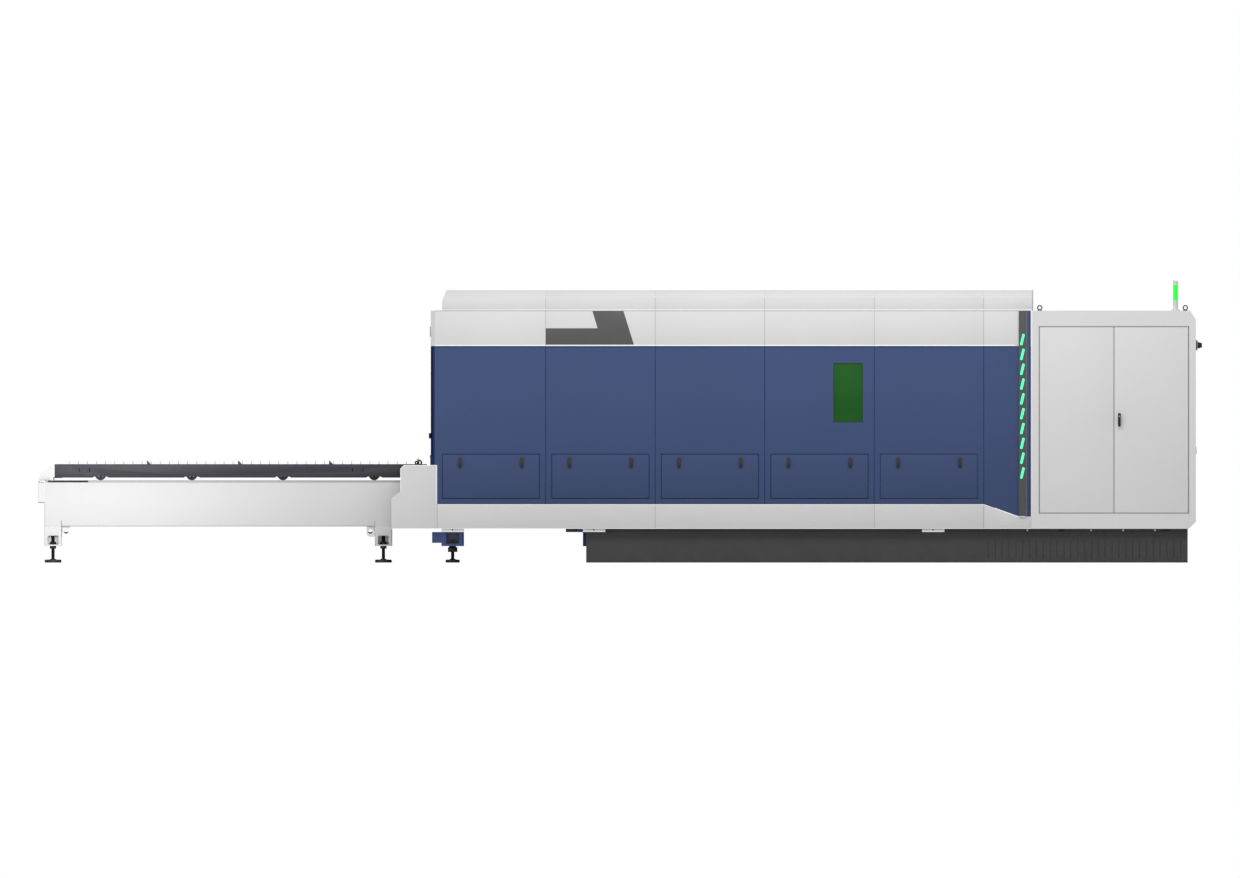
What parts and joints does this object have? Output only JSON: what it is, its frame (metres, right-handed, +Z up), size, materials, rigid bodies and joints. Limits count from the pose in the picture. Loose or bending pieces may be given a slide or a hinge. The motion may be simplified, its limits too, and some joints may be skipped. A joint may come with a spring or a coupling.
{
  "type": "fiber laser cutting machine",
  "caption": "Enclosed fiber laser cutting machine with exchange table, slatted pallets, moving gantry, service flaps, light strip and electrical cabinet.",
  "frame": {"origin": "bottom centre of the whole machine on the floor", "axes": "+X from the exchange table towards the electrical cabinet, +Y from the operator's side to the rear, +Z up"},
  "size_m": [9.6605, 2.736, 2.3444],
  "materials": {
    "fascia_white": "fine textured powder coat, warm white",
    "sill_white": "fine textured powder coat, light grey white",
    "panel_blue": "satin powder coat, grey blue",
    "frame_blue": "satin paint, dark blue",
    "plinth_grey": "matte powder coat, dark grey",
    "pallet_grey": "matte paint over welded steel, dark grey",
    "slat_steel": "cut sheet edge, plain",
    "bright_steel": "ground and plated",
    "chain_steel": "oiled steel",
    "wheel_steel": "turned steel",
    "black_parts": "moulded, matte",
    "latch_grey": "moulded, satin",
    "strip_grey": "satin anodised look, dark grey",
    "lens_green": "lit diffuser, mint green",
    "window_green": "laser safety pane, dark green",
    "tower_green": "lit diffuser, bright green",
    "tower_grey": "moulded, light grey",
    "zinc": "plain zinc plated sheet",
    "source_black": "fine textured powder coat, black",
    "door_white": "fine textured powder coat, warm white"
  },
  "bodies": {
    "machine": {"enclosure_frame": "frame_blue", "front_panels": "panel_blue", "rear_panels": "panel_blue", "fascia": "fascia_white", "window_pane": "window_green", "light_bar": "strip_grey", "light_lenses": "lens_green", "roof": "fascia_white", "port_wall": "frame_blue", "lower_covers": "sill_white", "plinth": "plinth_grey", "plinth_vents": "plinth_grey", "bed_frame": "panel_blue", "levelling_feet": "black_parts", "gantry_rails": "bright_steel", "scrap_tray": "zinc", "table_side_beams": "sill_white", "anchor_lugs": "sill_white", "table_cross_members": "sill_white", "pallet_rails": "pallet_grey", "drive_chains": "chain_steel", "drive_motor": "source_black", "cabinet_shell": "door_white", "cabinet_gear": "zinc", "laser_source": "source_black", "eye_bolts": "black_parts", "tower_light_base": "tower_grey", "tower_light_lens": "tower_green"},
    "gantry": {"gantry_beam": "panel_blue"},
    "carriage": {"cross_carriage": "fascia_white"},
    "head": {"cutting_head": "source_black"},
    "upper_pallet": {"upper_pallet_frame": "pallet_grey", "upper_slats": "slat_steel"},
    "lower_pallet": {"lower_pallet_frame": "pallet_grey", "lower_slats": "slat_steel"},
    "wheels_1": {"wheelset_1": "wheel_steel"},
    "wheels_2": {"wheelset_2": "wheel_steel"},
    "wheels_3": {"wheelset_3": "wheel_steel"},
    "wheels_4": {"wheelset_4": "wheel_steel"},
    "pallet_shaft": {"drive_shaft": "wheel_steel"},
    "loading_door": {"port_door": "pallet_grey"},
    "flap_body_1": {"flap_1": "panel_blue"},
    "flap_body_2": {"flap_2": "panel_blue"},
    "flap_body_3": {"flap_3": "panel_blue"},
    "flap_body_4": {"flap_4": "panel_blue"},
    "flap_body_5": {"flap_5": "panel_blue"},
    "latch_body_1": {"latch_1": "latch_grey"},
    "latch_body_2": {"latch_2": "latch_grey"},
    "latch_body_3": {"latch_3": "latch_grey"},
    "latch_body_4": {"latch_4": "latch_grey"},
    "latch_body_5": {"latch_5": "latch_grey"},
    "latch_body_6": {"latch_6": "latch_grey"},
    "latch_body_7": {"latch_7": "latch_grey"},
    "latch_body_8": {"latch_8": "latch_grey"},
    "latch_body_9": {"latch_9": "latch_grey"},
    "latch_body_10": {"latch_10": "latch_grey"},
    "left_leaf": {"cabinet_door_left": "door_white"},
    "right_leaf": {"cabinet_door_right": "door_white"},
    "leaf_handle": {"door_handle": "black_parts"},
    "main_switch": {"switch_knob": "latch_grey"}
  },
  "joints": [
    {"name": "gantry_travel", "type": "slide", "parent": "machine", "child": "gantry", "axis": [1, 0, 0], "range_m": [-3.1, 0]},
    {"name": "carriage_travel", "type": "slide", "parent": "gantry", "child": "carriage", "axis": [0, 1, 0], "range_m": [-0.75, 0.75]},
    {"name": "head_travel", "type": "slide", "parent": "carriage", "child": "head", "axis": [0, 0, 1], "range_m": [-0.315, 0]},
    {"name": "upper_pallet_travel", "type": "slide", "parent": "machine", "child": "upper_pallet", "axis": [1, 0, 0], "range_m": [0, 3.8]},
    {"name": "lower_pallet_travel", "type": "slide", "parent": "machine", "child": "lower_pallet", "axis": [1, 0, 0], "range_m": [-3.8, 0]},
    {"name": "wheels_1_roll", "type": "hinge", "parent": "upper_pallet", "child": "wheels_1", "pos_m": [-4.311, 0, 0.7298], "axis": [0, 1, 0], "continuous": true},
    {"name": "wheels_2_roll", "type": "hinge", "parent": "upper_pallet", "child": "wheels_2", "pos_m": [-3.554, 0, 0.7298], "axis": [0, 1, 0], "continuous": true},
    {"name": "wheels_3_roll", "type": "hinge", "parent": "upper_pallet", "child": "wheels_3", "pos_m": [-2.797, 0, 0.7298], "axis": [0, 1, 0], "continuous": true},
    {"name": "wheels_4_roll", "type": "hinge", "parent": "upper_pallet", "child": "wheels_4", "pos_m": [-2.04, 0, 0.7298], "axis": [0, 1, 0], "continuous": true},
    {"name": "pallet_shaft_turn", "type": "hinge", "parent": "machine", "child": "pallet_shaft", "pos_m": [-4.7365, 0, 0.585], "axis": [0, 1, 0], "continuous": true},
    {"name": "loading_door_travel", "type": "slide", "parent": "machine", "child": "loading_door", "axis": [0, 0, 1], "range_m": [-0.4305, 0]},
    {"name": "flap_1_hinge", "type": "hinge", "parent": "machine", "child": "flap_body_1", "pos_m": [-1.0715, -1.341, 0.539], "axis": [1, 0, 0], "range_deg": [0, 90]},
    {"name": "flap_2_hinge", "type": "hinge", "parent": "machine", "child": "flap_body_2", "pos_m": [-0.1625, -1.341, 0.539], "axis": [1, 0, 0], "range_deg": [0, 90]},
    {"name": "flap_3_hinge", "type": "hinge", "parent": "machine", "child": "flap_body_3", "pos_m": [0.7465, -1.341, 0.539], "axis": [1, 0, 0], "range_deg": [0, 90]},
    {"name": "flap_4_hinge", "type": "hinge", "parent": "machine", "child": "flap_body_4", "pos_m": [1.6555, -1.341, 0.539], "axis": [1, 0, 0], "range_deg": [0, 90]},
    {"name": "flap_5_hinge", "type": "hinge", "parent": "machine", "child": "flap_body_5", "pos_m": [2.5645, -1.341, 0.539], "axis": [1, 0, 0], "range_deg": [0, 90]},
    {"name": "latch_1_turn", "type": "hinge", "parent": "flap_body_1", "child": "latch_body_1", "pos_m": [-1.329, -1.35, 0.831], "axis": [0, -1, 0], "range_deg": [0, 90]},
    {"name": "latch_2_turn", "type": "hinge", "parent": "flap_body_1", "child": "latch_body_2", "pos_m": [-0.814, -1.35, 0.831], "axis": [0, -1, 0], "range_deg": [0, 90]},
    {"name": "latch_3_turn", "type": "hinge", "parent": "flap_body_2", "child": "latch_body_3", "pos_m": [-0.42, -1.35, 0.831], "axis": [0, -1, 0], "range_deg": [0, 90]},
    {"name": "latch_4_turn", "type": "hinge", "parent": "flap_body_2", "child": "latch_body_4", "pos_m": [0.095, -1.35, 0.831], "axis": [0, -1, 0], "range_deg": [0, 90]},
    {"name": "latch_5_turn", "type": "hinge", "parent": "flap_body_3", "child": "latch_body_5", "pos_m": [0.489, -1.35, 0.831], "axis": [0, -1, 0], "range_deg": [0, 90]},
    {"name": "latch_6_turn", "type": "hinge", "parent": "flap_body_3", "child": "latch_body_6", "pos_m": [1.004, -1.35, 0.831], "axis": [0, -1, 0], "range_deg": [0, 90]},
    {"name": "latch_7_turn", "type": "hinge", "parent": "flap_body_4", "child": "latch_body_7", "pos_m": [1.398, -1.35, 0.831], "axis": [0, -1, 0], "range_deg": [0, 90]},
    {"name": "latch_8_turn", "type": "hinge", "parent": "flap_body_4", "child": "latch_body_8", "pos_m": [1.913, -1.35, 0.831], "axis": [0, -1, 0], "range_deg": [0, 90]},
    {"name": "latch_9_turn", "type": "hinge", "parent": "flap_body_5", "child": "latch_body_9", "pos_m": [2.307, -1.35, 0.831], "axis": [0, -1, 0], "range_deg": [0, 90]},
    {"name": "latch_10_turn", "type": "hinge", "parent": "flap_body_5", "child": "latch_body_10", "pos_m": [2.822, -1.35, 0.831], "axis": [0, -1, 0], "range_deg": [0, 90]},
    {"name": "left_leaf_hinge", "type": "hinge", "parent": "machine", "child": "left_leaf", "pos_m": [3.489, -1.341, 1.18455], "axis": [0, 0, -1], "range_deg": [0, 90]},
    {"name": "right_leaf_hinge", "type": "hinge", "parent": "machine", "child": "right_leaf", "pos_m": [4.71, -1.341, 1.18455], "axis": [0, 0, 1], "range_deg": [0, 90]},
    {"name": "leaf_handle_turn", "type": "hinge", "parent": "right_leaf", "child": "leaf_handle", "pos_m": [4.1445, -1.35, 1.214], "axis": [0, -1, 0], "range_deg": [0, 90]},
    {"name": "main_switch_turn", "type": "hinge", "parent": "machine", "child": "main_switch", "pos_m": [4.794, -1.03, 1.804], "axis": [1, 0, 0], "range_deg": [0, 90]}
  ],
  "couplings": [
    {"joint": "lower_pallet_travel", "follows": "upper_pallet_travel", "ratio": -1},
    {"joint": "wheels_1_roll", "follows": "upper_pallet_travel", "rad_per_m": 21.505},
    {"joint": "wheels_2_roll", "follows": "upper_pallet_travel", "rad_per_m": 21.505},
    {"joint": "wheels_3_roll", "follows": "upper_pallet_travel", "rad_per_m": 21.505},
    {"joint": "wheels_4_roll", "follows": "upper_pallet_travel", "rad_per_m": 21.505},
    {"joint": "pallet_shaft_turn", "follows": "upper_pallet_travel", "rad_per_m": 16.129}
  ]
}
